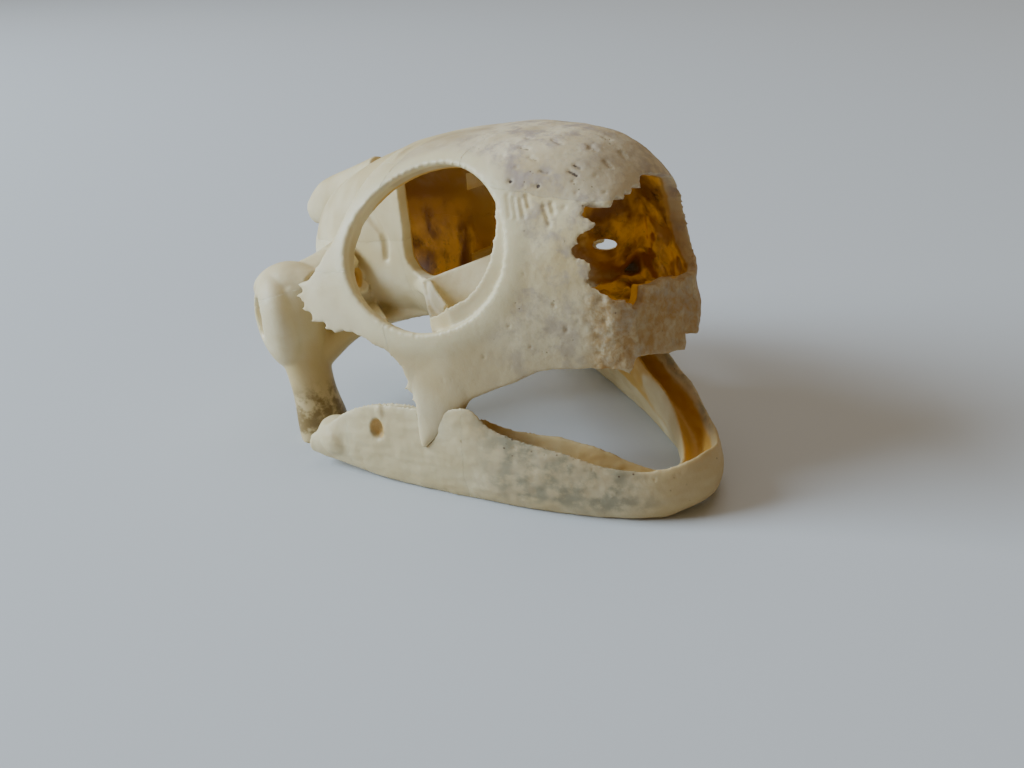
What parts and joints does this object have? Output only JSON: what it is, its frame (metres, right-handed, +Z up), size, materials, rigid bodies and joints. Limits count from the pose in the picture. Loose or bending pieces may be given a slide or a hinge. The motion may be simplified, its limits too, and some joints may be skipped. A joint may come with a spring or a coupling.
{
  "type": "turtle skull",
  "caption": "Life-size turtle skull with its lower jaw: round eye sockets, broken nose opening, beak edge, jaw joint columns and a bowed lower jaw.",
  "frame": {"origin": "middle of the whole object's box, on the level surface that it lies on", "axes": "+X to the snout, +Y to the animal's left, +Z up"},
  "size_m": [0.0422, 0.0282, 0.0236],
  "materials": {
    "ivory_bone": "dry porous bone with a low sheen",
    "roof_bone": "grey-pink pitted bone, matt",
    "stained_bone": "bone stained amber brown inside",
    "amber_bone": "smooth translucent yellow bone",
    "beak_bone": "rough spongy bone of the beak"
  },
  "bodies": {
    "root": {"articular_left": "ivory_bone", "articular_right": "ivory_bone", "braincase": "stained_bone", "dentary": "ivory_bone", "frontal": "roof_bone", "jugal_left": "ivory_bone", "jugal_right": "ivory_bone", "maxilla_left": "ivory_bone", "maxilla_right": "ivory_bone", "palate": "stained_bone", "parietal": "ivory_bone", "postorbital_left": "ivory_bone", "postorbital_right": "ivory_bone", "prefrontal_left": "roof_bone", "prefrontal_right": "roof_bone", "premaxilla": "beak_bone", "quadrate_left": "amber_bone", "quadrate_right": "amber_bone", "squamosal_left": "ivory_bone", "squamosal_right": "ivory_bone", "supraoccipital": "ivory_bone", "surangular_left": "ivory_bone", "surangular_right": "ivory_bone"}
  },
  "joints": []
}
